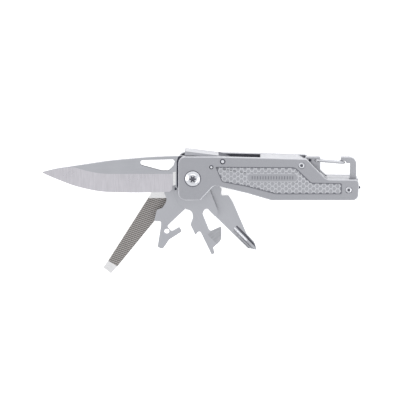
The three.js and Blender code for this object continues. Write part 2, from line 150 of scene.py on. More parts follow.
floor_size = 6
floor_gap = 0.0004
bpy.ops.mesh.primitive_plane_add(size=floor_size, location=(0, 0, back_face * mm - floor_gap))
floor = bpy.context.object
floor.name = "floor"
paint_floor(floor)
floor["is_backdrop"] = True

world = bpy.data.worlds.new("studio")
bpy.context.scene.world = world
world.use_nodes = True
world.node_tree.nodes["Background"].inputs["Color"].default_value = (0.95, 0.97, 1.0, 1)
world.node_tree.nodes["Background"].inputs["Strength"].default_value = 0.88


def soft_lamp(name, place, size, power):
    data = bpy.data.lights.new(name, "AREA")
    data.shape = "RECTANGLE"
    data.size, data.size_y = size
    data.energy = power
    lamp = bpy.data.objects.new(name, data)
    lamp.location = place
    lamp.rotation_euler = (-Vector(place)).to_track_quat("-Z", "Y").to_euler()
    bpy.context.scene.collection.objects.link(lamp)


soft_lamp("spine_lamp", (0.1, 0.8, 0.7), (1.2, 0.5), 3)
soft_lamp("point_lamp", (-0.9, -0.1, 0.8), (0.6, 0.8), 3)
soft_lamp("low_lamp", (0.8, -0.7, 0.35), (0.7, 0.3), 3)
soft_lamp("tail_lamp", (0.30, -0.12, 0.55), (0.25, 0.2), 0.22)
bpy.context.scene.view_settings.view_transform = "Standard"
print("room lit by", len(bpy.data.lights), "lamps")

# %% [markdown]
# ## Shared finish effects
#
# Nearly every finish here is steel, and what tells them apart is the mark the last tool left. Four small
# node groups make the marks and masks, and each material places them with its own values:
#
# - `blast_grain` is the tiny crater field that glass beads leave on a matt part.
# - `line_grain` is a set of fine parallel scratches, as a belt or a wheel leaves. It is noise that has been
#   stretched along one axis, so the material turns its coordinates first.
# - `handling` is a slow, cloudy change in gloss where fingers and cloths have been.
# - `facing` tells the flat faces, which look straight up or down, from the edges between them.
#
# A group may only put out values, so each one ends in a number between 0 and 1, and the shader stays in the
# material.

# %% Node group helper
def new_group(name, inputs):
    group = bpy.data.node_groups.new(name, "ShaderNodeTree")
    group.interface.new_socket("Vector", in_out="INPUT", socket_type="NodeSocketVector")
    for label, value in inputs.items():
        socket = group.interface.new_socket(label, in_out="INPUT", socket_type="NodeSocketFloat")
        socket.default_value = value
    group.interface.new_socket("Mask", in_out="OUTPUT", socket_type="NodeSocketFloat")
    start = group.nodes.new("NodeGroupInput")
    end = group.nodes.new("NodeGroupOutput")
    return group, start, end


def add_math(group, operation, first, second):
    node = group.nodes.new("ShaderNodeMath")
    node.operation = operation
    node.use_clamp = True
    group.links.new(first, node.inputs[0])
    if isinstance(second, (int, float)):
        node.inputs[1].default_value = second
    else:
        group.links.new(second, node.inputs[1])
    return node.outputs[0]


# %% Blast grain, line grain and handling
grain_gain = 2.6


def make_blast_grain():
    group, start, end = new_group("blast_grain", {"Pits per metre": 3500.0})
    pits = group.nodes.new("ShaderNodeTexVoronoi")
    pits.feature = "SMOOTH_F1"
    dust = group.nodes.new("ShaderNodeTexNoise")
    dust.inputs["Detail"].default_value = 4
    for texture in (pits, dust):
        group.links.new(start.outputs["Vector"], texture.inputs["Vector"])
        group.links.new(start.outputs["Pits per metre"], texture.inputs["Scale"])
    mixed = add_math(group, "MULTIPLY", pits.outputs["Distance"], dust.outputs["Fac"])
    group.links.new(add_math(group, "MULTIPLY", mixed, grain_gain), end.inputs["Mask"])
    return group


def make_line_grain():
    group, start, end = new_group("line_grain", {"Lines per metre": 4000.0, "Length": 40.0})
    divide = group.nodes.new("ShaderNodeMath")
    divide.operation = "DIVIDE"
    divide.inputs[0].default_value = 1.0
    group.links.new(start.outputs["Length"], divide.inputs[1])
    squeeze = group.nodes.new("ShaderNodeCombineXYZ")
    squeeze.inputs["Y"].default_value = 1
    squeeze.inputs["Z"].default_value = 1
    group.links.new(divide.outputs[0], squeeze.inputs["X"])
    stretched = group.nodes.new("ShaderNodeVectorMath")
    stretched.operation = "MULTIPLY"
    group.links.new(start.outputs["Vector"], stretched.inputs[0])
    group.links.new(squeeze.outputs[0], stretched.inputs[1])
    noise = group.nodes.new("ShaderNodeTexNoise")
    noise.inputs["Detail"].default_value = 5
    noise.inputs["Roughness"].default_value = 0.65
    group.links.new(stretched.outputs[0], noise.inputs["Vector"])
    group.links.new(start.outputs["Lines per metre"], noise.inputs["Scale"])
    group.links.new(noise.outputs["Fac"], end.inputs["Mask"])
    return group


def make_handling():
    group, start, end = new_group("handling", {"Clouds per metre": 60.0})
    noise = group.nodes.new("ShaderNodeTexNoise")
    noise.inputs["Detail"].default_value = 6
    noise.inputs["Distortion"].default_value = 0.6
    group.links.new(start.outputs["Vector"], noise.inputs["Vector"])
    group.links.new(start.outputs["Clouds per metre"], noise.inputs["Scale"])
    ramp = group.nodes.new("ShaderNodeMapRange")
    ramp.interpolation_type = "SMOOTHSTEP"
    ramp.inputs["From Min"].default_value = 0.35
    ramp.inputs["From Max"].default_value = 0.65
    group.links.new(noise.outputs["Fac"], ramp.inputs["Value"])
    group.links.new(ramp.outputs["Result"], end.inputs["Mask"])
    return group


blast_grain = make_blast_grain()
line_grain = make_line_grain()
handling = make_handling()
print("effects:", ", ".join(g.name for g in (blast_grain, line_grain, handling)))

# %% Facing mask
def make_facing():
    group, start, end = new_group("facing", {"Low": 0.66, "High": 0.80})
    parts = group.nodes.new("ShaderNodeSeparateXYZ")
    group.links.new(start.outputs["Vector"], parts.inputs[0])
    size = group.nodes.new("ShaderNodeMath")
    size.operation = "ABSOLUTE"
    group.links.new(parts.outputs["Z"], size.inputs[0])
    ramp = group.nodes.new("ShaderNodeMapRange")
    ramp.interpolation_type = "SMOOTHSTEP"
    group.links.new(start.outputs["Low"], ramp.inputs["From Min"])
    group.links.new(start.outputs["High"], ramp.inputs["From Max"])
    group.links.new(size.outputs[0], ramp.inputs["Value"])
    group.links.new(ramp.outputs["Result"], end.inputs["Mask"])
    return group


facing = make_facing()
print("mask:", facing.name)

# %% [markdown]
# ## The steel finishes
#
# One function builds every finish: it mixes two tones by the grain, lets the handling clouds lift the
# roughness a little, and feeds the grain to a Bump node whose distance is ten microns. What changes from
# one finish to the next is the grain, its direction and its strength. A tone is the share of light
# that the metal reflects.
#
# The blasted scales are chamfered and milled on their edges after blasting, which leaves a bright line all
# The `facing` mask tells the flat faces from the edges and side walls, and `rim` is a tone painted on those
# edges: a painted highlight that draws a bright line round the scales, the hook and the satin tools, and a
# painted shade on the sides of the file's bright tip.
# the file's teeth.

# %% Build a steel
inner_face_limit = 0.9
grain_depth = 0.00001


def blend(tree, links, mask, surface, tone):
    mixed = tree.new("ShaderNodeMix")
    mixed.data_type = "RGBA"
    mixed.inputs["B"].default_value = (*tone, 1)
    links.new(surface, mixed.inputs["A"])
    links.new(mask, mixed.inputs["Factor"])
    return mixed.outputs["Result"]


def steel(name, tones, roughness, grain, values, turn=0.0, bump=0.3, rim=None, inside=None,
          valley_shade=None):
    material, tree, links = new_material(name)
    shader = tree["Principled BSDF"]
    shader.inputs["Metallic"].default_value = 1.0
    coordinates = tree.new("ShaderNodeTexCoord")
    turned = tree.new("ShaderNodeMapping")
    turned.inputs["Rotation"].default_value = (0, 0, math.radians(turn))
    links.new(coordinates.outputs["Object"], turned.inputs["Vector"])

    marks = tree.new("ShaderNodeGroup")
    marks.node_tree = grain
    for label, value in values.items():
        marks.inputs[label].default_value = value
    clouds = tree.new("ShaderNodeGroup")
    clouds.node_tree = handling
    for effect in (marks, clouds):
        links.new(turned.outputs["Vector"], effect.inputs["Vector"])

    colour = tree.new("ShaderNodeMix")
    colour.data_type = "RGBA"
    colour.inputs["A"].default_value = (*tones[0], 1)
    colour.inputs["B"].default_value = (*tones[1], 1)
    links.new(marks.outputs["Mask"], colour.inputs["Factor"])
    surface = colour.outputs["Result"]
    # Edges and side walls, told from the flat faces by the facing mask, take the rim tone: a painted
    # highlight on most finishes and a painted shade on the file's bright tip.
    if rim:
        flat = tree.new("ShaderNodeGroup")
        flat.node_tree = facing
        links.new(coordinates.outputs["Normal"], flat.inputs["Vector"])
        edged = tree.new("ShaderNodeMix")
        edged.data_type = "RGBA"
        edged.inputs["A"].default_value = (*rim, 1)
        links.new(surface, edged.inputs["B"])
        links.new(flat.outputs["Mask"], edged.inputs["Factor"])
        surface = edged.outputs["Result"]
    # Faces that look up from inside the handle take a painted shade.
    if inside:
        up = tree.new("ShaderNodeSeparateXYZ")
        links.new(coordinates.outputs["Normal"], up.inputs[0])
        upward = tree.new("ShaderNodeMath")
        upward.operation = "GREATER_THAN"
        upward.inputs[1].default_value = inner_face_limit
        links.new(up.outputs["Z"], upward.inputs[0])
        surface = blend(tree, links, upward.outputs[0], surface, inside)
    # The low points of the file's teeth take a painted shade.
    if valley_shade:
        between_teeth = tree.new("ShaderNodeAttribute")
        between_teeth.attribute_name = "lowered"
        surface = blend(tree, links, between_teeth.outputs["Fac"], surface, valley_shade)
    links.new(surface, shader.inputs["Base Color"])

    gloss = tree.new("ShaderNodeMapRange")
    gloss.inputs["To Min"].default_value = roughness[0]
    gloss.inputs["To Max"].default_value = roughness[1]
    links.new(clouds.outputs["Mask"], gloss.inputs["Value"])
    links.new(gloss.outputs["Result"], shader.inputs["Roughness"])

    relief = tree.new("ShaderNodeBump")
    relief.inputs["Strength"].default_value = bump
    relief.inputs["Distance"].default_value = grain_depth
    links.new(marks.outputs["Mask"], relief.inputs["Height"])
    links.new(relief.outputs["Normal"], shader.inputs["Normal"])
    return material


cool_tint = 0.02


def grey(value):
    return (value, value, value + cool_tint)


# %% The finishes of this tool
blast = {"Pits per metre": 4200}
scale_tones = (grey(0.34), grey(0.43))
# A painted highlight: the bright line along the scales' edges and side walls.
scale_edge_highlight = grey(0.62)
blasted = steel("blasted_steel", scale_tones, (0.48, 0.56), blast_grain, blast, rim=scale_edge_highlight)
# The back scale's faces that look up from inside the handle carry a painted shade.
back_scale_shaded = steel("blasted_back_steel", scale_tones, (0.48, 0.56), blast_grain, blast,
                     rim=scale_edge_highlight, inside=grey(0.13))
# The hook's brighter edge tone is a painted highlight.
hook_steel = steel("hook_steel", (grey(0.36), grey(0.46)), (0.42, 0.52), blast_grain, blast,
                   rim=grey(0.50))
pressed = steel("pressed_steel", (grey(0.51), grey(0.63)), (0.36, 0.46), blast_grain,
                {"Pits per metre": 5200})
# Darker than the grip as painted shade: the panel floor and the dashes.
pressed_floor_shade = steel("pressed_floor_steel", (grey(0.36), grey(0.46)), (0.5, 0.6), blast_grain,
                      {"Pits per metre": 3600})
# The badge's bars, and as painted shade the panel floor's border.
print_and_shade_line = steel("panel_line_steel", (grey(0.16), grey(0.24)), (0.5, 0.6), blast_grain,
                   {"Pits per metre": 3600})
# The satin tools' brighter edge tone is a painted highlight.
satin = steel("satin_steel", (grey(0.43), grey(0.52)), (0.34, 0.44), line_grain,
              {"Lines per metre": 5000, "Length": 30}, turn=60, rim=grey(0.56))
flat_ground = steel("flat_ground_steel", (grey(0.44), grey(0.55)), (0.30, 0.38), line_grain,
                    {"Lines per metre": 4200, "Length": 60})
bevel_ground = steel("bevel_ground_steel", ((0.50, 0.48, 0.50), (0.78, 0.75, 0.78)), (0.26, 0.34),
                     line_grain, {"Lines per metre": 1300, "Length": 40}, turn=90, bump=0.5)
hook_ground = steel("hook_ground_steel", ((0.20, 0.20, 0.21), (0.62, 0.62, 0.64)), (0.32, 0.42),
                    line_grain, {"Lines per metre": 700, "Length": 30}, turn=-35, bump=0.6)
# The file's valley tone is painted shade between the teeth.
filed = steel("file_steel", ((0.46, 0.43, 0.41), (0.70, 0.67, 0.64)), (0.42, 0.55), line_grain,
              {"Lines per metre": 1800, "Length": 6}, turn=58, bump=0.6, valley_shade=(0.10, 0.09, 0.085))
# The file tip's darker edge tone is painted shade on its sides.
file_bright = steel("file_bright_steel", ((0.76, 0.74, 0.73), (0.98, 0.97, 0.96)), (0.24, 0.34),
                    line_grain, {"Lines per metre": 2600, "Length": 30}, turn=35, bump=0.4,
                    rim=(0.5, 0.48, 0.46))
polished = steel("polished_steel", (grey(0.80), grey(0.92)), (0.12, 0.20), line_grain,
                 {"Lines per metre": 2500, "Length": 8}, bump=0.08)
head_steel = steel("head_steel", (grey(0.62), grey(0.74)), (0.16, 0.24), line_grain,
                   {"Lines per metre": 2500, "Length": 8}, bump=0.08)
# A painted shade for recesses: the screw sockets and the driver's right flute.
socket_shade_steel = steel("socket_shade_steel", (grey(0.10), grey(0.18)), (0.3, 0.4), blast_grain,
                     {"Pits per metre": 3000})
wire_steel = steel("wire_steel", (grey(0.50), grey(0.64)), (0.20, 0.30), line_grain,
                   {"Lines per metre": 3000, "Length": 30}, bump=0.15)
machined = steel("machined_steel", (grey(0.44), grey(0.56)), (0.28, 0.38), line_grain,
                 {"Lines per metre": 3800, "Length": 50}, bump=0.3)
dark_steel = steel("dark_steel", (grey(0.04), grey(0.09)), (0.42, 0.55), blast_grain,
                   {"Pits per metre": 3000})
bronze = steel("bronze", ((0.52, 0.32, 0.14), (0.68, 0.44, 0.22)), (0.30, 0.40), line_grain,
               {"Lines per metre": 3000, "Length": 6})
print("finishes:", len(bpy.data.materials) - 1)

# %% [markdown]
# ## Modelling helpers
#
# The new pieces are modelled the way they would be by hand: start from a primitive, pick faces, push and
# pull them, and cut shapes away. These helpers keep that readable:
#
# - `choose` picks faces or vertices by a test and leaves the piece in edit mode.
# - `outline_plate` moves the corners of a disc to an outline and pulls it up to a thickness.
# - `turned_piece` pulls a disc up through a list of radii and heights, like a lathe.
# - `carve` takes one piece out of another, and the cut faces keep the cutter's finish.
# - `merged_copy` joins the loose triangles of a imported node, so that its faces can be told apart.

# %% Pick, paint and soften
crease_angle = math.radians(25)


def choose(piece, test, kind="FACE"):
    bpy.ops.object.select_all(action="DESELECT")
    piece.select_set(True)
    bpy.context.view_layer.objects.active = piece
    bpy.ops.object.mode_set(mode="EDIT")
    bpy.ops.mesh.select_mode(type=kind)
    bpy.ops.mesh.select_all(action="DESELECT")
    bpy.ops.object.mode_set(mode="OBJECT")
    items = piece.data.polygons if kind == "FACE" else piece.data.vertices
    picked = 0
    for item in items:
        item.select = bool(test(item))
        picked += item.select
    bpy.ops.object.mode_set(mode="EDIT")
    return picked


def done():
    bpy.ops.object.mode_set(mode="OBJECT")


def fix_normals(piece):
    choose(piece, lambda face: True)
    bpy.ops.mesh.normals_make_consistent(inside=False)
    done()


def paint(piece, *materials):
    piece.data.materials.clear()
    for material in materials:
        piece.data.materials.append(material)


def repaint(piece, slot, test):
    count = 0
    for face in piece.data.polygons:
        if test(face):
            face.material_index = slot
            count += 1
    return count


def live_modifier(piece, kind, **settings):
    modifier = piece.modifiers.new(kind.lower(), kind)
    for label, value in settings.items():
        setattr(modifier, label, value)
    return modifier


def smooth(piece):
    piece.data.polygons.foreach_set("use_smooth", [True] * len(piece.data.polygons))


def soften(piece, width, segments=2):
    live_modifier(piece, "WELD", merge_threshold=1e-6)
    live_modifier(piece, "DECIMATE", decimate_type="DISSOLVE", angle_limit=math.radians(0.5),
                  delimit={"MATERIAL"})
    live_modifier(piece, "BEVEL", width=width * mm, segments=segments, limit_method="ANGLE",
                  angle_limit=math.radians(30))
    live_modifier(piece, "WEIGHTED_NORMAL", keep_sharp=False)
    smooth(piece)


# %% Make, cut and copy
corner_steps = 4


def rounded(corners):
    points = []
    for i, (x, y, radius) in enumerate(corners):
        here = Vector((x, y))
        before = (Vector(corners[i - 1][:2]) - here).normalized()
        after = (Vector(corners[(i + 1) % len(corners)][:2]) - here).normalized()
        half = before.angle(after) / 2
        centre = here + (before + after).normalized() * radius / math.sin(half)
        first = here + before * radius / math.tan(half) - centre
        last = here + after * radius / math.tan(half) - centre
        sweep = first.angle_signed(last)
        for step in range(corner_steps + 1):
            turn = Matrix.Rotation(-sweep * step / corner_steps, 2)
            points.append(centre + turn @ first)
    return points


def outline_plate(name, points, bottom, top, *materials):
    bpy.ops.mesh.primitive_circle_add(vertices=len(points), radius=mm, fill_type="NGON",
                                      location=(0, 0, 0))
    piece = bpy.context.object
    piece.name = piece.data.name = name
    for index, point in enumerate(points):
        start = piece.data.vertices[index].co.copy()
        target = Vector((point[0], point[1], bottom)) * mm
        choose(piece, lambda vertex: vertex.index == index, "VERT")
        bpy.ops.transform.translate(value=target - start)
        done()
    choose(piece, lambda face: True)
    bpy.ops.mesh.extrude_region_move(TRANSFORM_OT_translate={"value": (0, 0, (top - bottom) * mm)})
    done()
    fix_normals(piece)
    paint(piece, *materials)
    return piece


def turned_piece(name, profile, at, segments, *materials):
    radius, height = profile[0]
    bpy.ops.mesh.primitive_circle_add(vertices=segments, radius=radius * mm, fill_type="NGON",
                                      location=(0, 0, 0))
    piece = bpy.context.object
    piece.name = piece.data.name = name
    choose(piece, lambda face: True)
    bpy.ops.transform.translate(value=Vector((at[0], at[1], height)) * mm)
    for next_radius, next_height in profile[1:]:
        bpy.ops.mesh.extrude_region_move(
            TRANSFORM_OT_translate={"value": (0, 0, (next_height - height) * mm)})
        factor = next_radius / radius
        bpy.ops.transform.resize(value=(factor, factor, 1))
        radius, height = next_radius, next_height
    done()
    fix_normals(piece)
    paint(piece, *materials)
    return piece


def block(name, size, start, along, tilt, material):
    """A box whose lower edge runs from start along a direction, tilted down to the right of it."""
    bpy.ops.mesh.primitive_cube_add(size=1, location=(0, 0, 0))
    piece = bpy.context.object
    piece.name = piece.data.name = name
    length, width, height = size
    move = Matrix.Translation(Vector((length / 2, width / 2, height / 2)) * mm)
    grow = Matrix.Diagonal((*(Vector(size) * mm), 1))
    lean = Matrix.Rotation(math.radians(tilt), 4, "X")
    turn = Matrix.Rotation(math.atan2(along[1], along[0]), 4, "Z")
    piece.matrix_world = Matrix.Translation(Vector(start) * mm) @ turn @ lean @ move @ grow
    bpy.ops.object.transform_apply(location=True, rotation=True, scale=True)
    paint(piece, material)
    return piece


def carve(piece, *cutters):
    for cutter in cutters:
        cut = live_modifier(piece, "BOOLEAN", operation="DIFFERENCE", solver="EXACT", object=cutter,
                            material_mode="TRANSFER")
        bpy.context.view_layer.objects.active = piece
        bpy.ops.object.modifier_apply(modifier=cut.name)
        bpy.data.objects.remove(cutter)


def merged_copy(name, node):
    piece = nodes[node].copy()
    piece.data = nodes[node].data.copy()
    piece.name = piece.data.name = name
    bpy.context.scene.collection.objects.link(piece)
    piece.parent = None
    piece.modifiers.clear()
    choose(piece, lambda face: True)
    bpy.ops.mesh.remove_doubles(threshold=1e-6)
    bpy.ops.mesh.dissolve_limited(angle_limit=math.radians(0.2))
    done()
    fix_normals(piece)
    return piece


def mirrored_copy(piece, name, middle_height):
    twin = piece.copy()
    twin.data = piece.data.copy()
    twin.name = twin.data.name = name
    bpy.context.scene.collection.objects.link(twin)
    choose(twin, lambda face: True)
    bpy.ops.transform.resize(value=(1, 1, -1), center_override=(0, 0, middle_height * mm))
    bpy.ops.mesh.flip_normals()
    done()
    return twin


def finish_piece(piece, body, slot, *replaced):
    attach(piece, body)
    if replaced:
        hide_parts(*replaced)


print("helpers ready")

# %% [markdown]
# ## Soft edges on the carried parts
#
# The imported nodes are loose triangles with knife-sharp corners. A real part has been tumbled, so its edges
# catch a thin line of light. Modifiers do this without touching a node's own mesh: Weld joins the triangles,
# Decimate in its planar mode clears the flat faces, and Bevel rounds the edges that are sharper than thirty
# degrees. Weighted Normal then keeps the flats flat. Each node gets a width that suits its thickness.

# %% Finish the carried nodes
carried = {
    "front_scale": (blasted, 0.12), "back_scale": (back_scale_shaded, 0.12),
    "backspacer": (machined, 0.15), "hook_plate": (hook_steel, 0.15),
    "tail_spacer_front": (machined, 0.1), "tail_spacer_back": (machined, 0.1),
    # The lock spring's near-black steel is painted shade in the slot along the spine.
    "lock_spring": (dark_steel, 0.1), "pivot_barrel": (polished, 0.1),
    "upper_standoff": (satin, 0.05), "tail_standoff": (satin, 0.05),
    "bottle_opener": (satin, 0.18), "file": (file_bright, 0.1), "glass_breaker": (dark_steel, 0.05),
    "wire_gate": (wire_steel, 0.02),
}
for washer in range(1, 7):
    carried[f"pivot_washer_{washer}"] = (bronze, 0.02)
for name, (material, width) in carried.items():
    paint(nodes[name], material)
    soften(nodes[name], width)
print("softened", len(carried), "nodes")

# %% [markdown]
# ## The blade
#
# The blade is ground from one bar. Its upper flats are brushed along the blade and its bevels are ground
# across it, so the two meet in a clear line. A copy of the imported blade is merged, and its faces are sorted
# by the way they look: the bevels lean towards the cutting edge, and the walls of the thumb hole stand
# upright and are painted near-black as shade. A narrow relief groove is then milled where the tang runs in
# under the scales. It follows the edge of the front scale, and its faces are painted near-black as the shadow
# along that edge. Last come the bevel's plunge and a small pocket at its heel, painted bright as a highlight.

# %% Sort the blade's faces
blade_low, blade_high = span("blade")
blade = merged_copy("blade_ground", "blade")
paint(blade, flat_ground, bevel_ground, dark_steel)
hole_right, hole_left, hole_bottom = -9.0, -31.0, 3.0
blade_top = 11.4
bevels = repaint(blade, 1, lambda face: face.normal.y < -0.03 and abs(face.normal.z) > 0.3)


def in_thumb_hole(face):
    x, y, _ = face.center / mm
    inside = hole_left < x < hole_right and hole_bottom < y < blade_top
    return inside and abs(face.normal.z) < 0.3


# The thumb hole's walls are painted near-black as shade.
walls = repaint(blade, 2, in_thumb_hole)
print("bevel faces:", bevels, "thumb hole walls:", walls)

# %% Mill the relief groove
scale_edge = span("front_scale")[0].x
groove_depth = 0.5
inner = [(scale_edge + 0.1, -7.2), (scale_edge + 0.1, 9.1), (scale_edge + 0.6, 10.9),
         (scale_edge + 1.7, 12.0), (scale_edge + 3.0, 12.9)]
outer = [(scale_edge + 1.2, 13.4), (scale_edge - 0.1, 12.2), (scale_edge - 0.9, 9.6),
         (scale_edge - 0.9, -7.2)]
# The groove's cut faces take the cutter's near-black steel, a painted shadow along the scale's edge.
groove = outline_plate("groove_cutter", inner + outer, blade_high.z - groove_depth,
                       blade_high.z + 1, dark_steel)
carve(blade, groove)

plunge = (-11.6, 2.35)
plunge_size = (5.1, 14, 3)
bevel_drop, bevel_width = 0.98, 10.75
bevel_slope = math.degrees(math.atan2(bevel_drop, bevel_width))
plunge_cutter = block("plunge_cutter", plunge_size, (*plunge, blade_high.z), (-1, 0), -bevel_slope,
                      bevel_ground)
blade_middle = (blade_low.z + blade_high.z) / 2
carve(blade, plunge_cutter, mirrored_copy(plunge_cutter, "plunge_cutter_back", blade_middle))
# The pocket's bright steel is a painted highlight.
ricasso = outline_plate("ricasso_cutter", [(-11.4, -5.0), (-9.8, -5.6), (-9.8, 3.6), (-11.4, 3.3)],
                        blade_high.z - 0.05, blade_high.z + 1, file_bright)
carve(blade, ricasso)
soften(blade, 0.05, segments=1)
finish_piece(blade, "knife", "blade_steel", "blade")
print("blade faces:", len(blade.data.polygons))

# %% [markdown]
# ## The can opener and the driver
#
# Both are blanked from sheet and then ground. The can opener's hook gets a ground cutting facet: a
# tilted block takes it off, and the facet keeps the coarser wheel marks. A small round pocket is sunk in its
# tang by the blade's heel, and its near-black faces are a painted shadow. Three flutes on each face shape
# the driver's point, and each one is a thin cylinder that sinks deeper towards the point. Their cut faces
# are painted as lit and shaded steel: the middle flute bright as a painted highlight, the right one
# near-black as painted shade.

# %% Grind the can opener's hook
can_face = span("can_opener")[1].z
facet_start = (8.6, -33.9, can_face)
facet_along = (5.6, -5.7)
facet_tilt = -9
facet_size = (11, 12, 3)
# The near-black pocket here is a painted shadow by the blade's heel.
shadow_spot_at, shadow_spot_radius, shadow_spot_depth = (-10.0, -6.9), 0.85, 0.6
can = merged_copy("can_opener_ground", "can_opener")
paint(can, satin, hook_ground)
facet = block("facet_cutter", facet_size, facet_start, facet_along, facet_tilt, hook_ground)
shadow_spot_profile = [(shadow_spot_radius, can_face - shadow_spot_depth), (shadow_spot_radius, can_face + 1)]
shadow_spot = turned_piece("shadow_spot_cutter", shadow_spot_profile, shadow_spot_at, 16, dark_steel)
carve(can, facet, shadow_spot)
soften(can, 0.2)
finish_piece(can, "can_tool", "satin_steel", "can_opener")
print("can opener faces:", len(can.data.polygons))

# %% Flute the driver's point
driver_back, driver_front = span("cross_driver")[0].z, span("cross_driver")[1].z
driver = merged_copy("driver_fluted", "cross_driver")
paint(driver, satin, polished)
flute_from, flute_to = Vector((24.2, -30.6)), Vector((36.9, -43.9))
flute_direction = (flute_to - flute_from).normalized()
flute_side = Vector((flute_direction.y, -flute_direction.x))
flute_sink = math.radians(3.5)


def flute(name, offset, radius, length, rise, face, height, material):
    centre = flute_from + flute_side * offset + flute_direction * length / 2
    heading = flute_direction.to_3d()
    heading.z = -face * math.sin(flute_sink)
    rise_at_centre = face * (rise - math.sin(flute_sink) * length / 2)
    bpy.ops.mesh.primitive_cylinder_add(vertices=16, radius=radius * mm, depth=length * mm)
    cutter = bpy.context.object
    cutter.name = name
    place = Matrix.Translation(Vector((centre.x, centre.y, height + rise_at_centre)) * mm)
    cutter.matrix_world = place @ heading.to_track_quat("Z", "Y").to_matrix().to_4x4()
    bpy.ops.object.transform_apply(location=True, rotation=True, scale=True)
    paint(cutter, material)
    return cutter


# The cutters' finishes paint light and shade into the flutes: a painted highlight in the middle, the ground
# finish on the left and a painted shade on the right.
for face, height in ((1, driver_front), (-1, driver_back)):
    carve(
        driver,
        flute("middle_flute", 0.05, 0.6, 10.5, 0.42, face, height, polished),
        flute("left_flute", 1.6, 0.8, 24, 0.56, face, height, hook_ground),
        flute("right_flute", -1.45, 0.62, 24, 0.42, face, height, socket_shade_steel),
    )
soften(driver, 0.1)
finish_piece(driver, "driver_tool", "satin_steel", "cross_driver")
print("driver faces:", len(driver.data.polygons))

# %% [markdown]
# ## The lock lever
#
# The lever is milled, and its wide top is one of the tool's brightest faces. Its nose, which drops towards
# the tangs, and its tail, which dives between the scales to meet the spring, are painted near-black as shade.
# The same merge and sort gives each face its finish.

# %% Sort the lever's faces
lever = merged_copy("lever_milled", "lock_lever")
paint(lever, satin, machined, dark_steel)
tops = repaint(lever, 1, lambda face: face.normal.y > 0.8)
# The nose's and the tail's faces are painted near-black as shade.
shaded_ends = repaint(
    lever, 2,
    lambda face: face.normal.x < -0.5 or (face.normal.x > 0.22 and face.center.x > 14 * mm),
)
soften(lever, 0.15)
finish_piece(lever, "lever", "spine_steel", "lock_lever")
print("lever tops:", tops, "dark ends:", shaded_ends)

# %% [markdown]
# ## Screws and pins
#
# Each screw is turned: a disc is pulled up through its profile from the shank to the head. The drive socket
# starts as an inset in the head. Its ring of vertices is then pinched between the lobes, and the middle is
# pushed down; its floor and walls are painted dark as shade. A thin near-black ring under the pivot's head
# is a painted contact shadow. The pins are turned too, with a chamfer at each end that is painted dark as
# shade.

# %% Turn a screw
head_segments = 48
wide_head = 2


def screw(name, profile, at, socket_radius, socket_depth, lobe_depth):
    piece = turned_piece(name, profile, at, head_segments, polished, socket_shade_steel, head_steel)
    radius, height = profile[-1]
    choose(piece, lambda face: face.normal.z > 0.99 and face.center.z > (height - 0.01) * mm)
    bpy.ops.mesh.inset(thickness=(radius - socket_radius) * mm, depth=0)
    done()
    centre = Vector((at[0], at[1], height)) * mm
    for step in range(1, 5):
        factor = 1 - lobe_depth * (1 - math.cos(math.radians(45 * step))) / 2

        def on_this_step(vertex):
            offset = vertex.co - centre
            if abs(offset.z) > 1e-6 or abs(offset.to_2d().length - socket_radius * mm) > 2e-5:
                return False
            turn = round(math.degrees(math.atan2(offset.y, offset.x)) * head_segments / 360) % 8
            return min(turn, 8 - turn) == step

        choose(piece, on_this_step, "VERT")
        bpy.ops.transform.resize(value=(factor, factor, 1), center_override=centre)
        done()
    choose(piece, lambda face: face.normal.z > 0.99 and (face.center - centre).length < 2e-5)
    bpy.ops.mesh.extrude_region_move(TRANSFORM_OT_translate={"value": (0, 0, -socket_depth * mm)})
    done()
    reach = socket_radius * 1.05 * mm
    # The socket's floor and walls are painted dark as shade.
    repaint(piece, 1, lambda face: face.center.z < centre.z - 1e-5
            and (face.center - centre).to_2d().length < reach
            and face.center.z > centre.z - (socket_depth + 0.05) * mm)
    if radius > wide_head:
        repaint(piece, 2, lambda face: face.normal.z > 0.95 and face.material_index == 0)
    smooth(piece)
    bpy.ops.object.shade_smooth_by_angle(angle=crease_angle)
    return piece


pivot_top = span("pivot_screw")[1].z
pivot_low = span("pivot_screw")[0].z
pivot = screw(
    "pivot_screw_turned",
    [(1.5, pivot_low), (1.5, front_face + 0.02), (4.3, front_face + 0.02), (4.4, front_face + 0.25),
     (4.4, front_face + 0.35), (4.05, front_face + 0.75), (3.0, pivot_top - 0.08),
     (2.8, pivot_top - 0.16), (2.6, pivot_top - 0.03), (2.5, pivot_top)],
    (0, 0), 2.1, 0.85, 0.48,
)
finish_piece(pivot, "handle", "polished_steel", "pivot_screw")
# A thin near-black ring under the pivot's head: a painted contact shadow.
shadow_ring = turned_piece("pivot_shadow_ring", [(4.75, front_face - 0.02), (4.75, front_face + 0.08)], (0, 0), 48,
                    dark_steel)
finish_piece(shadow_ring, "handle", "dark_steel")
for place in ("upper", "tail"):
    node = f"{place}_screw_front"
    low, high = span(node)
    at = middle(node)[:2]
    small = screw(
        f"{place}_screw_front_turned",
        [(1.0, low.z), (1.0, high.z - 0.9), (1.95, high.z - 0.9), (1.95, high.z - 0.55),
         (1.45, high.z - 0.02), (1.35, high.z)],
        at, 1.0, 0.6, 0.22,
    )
    finish_piece(small, "handle", "polished_steel", node)
    twin = mirrored_copy(small, f"{place}_screw_back_turned", tool_middle)
    finish_piece(twin, "handle", "polished_steel", f"{place}_screw_back")
print("screws turned: 5")

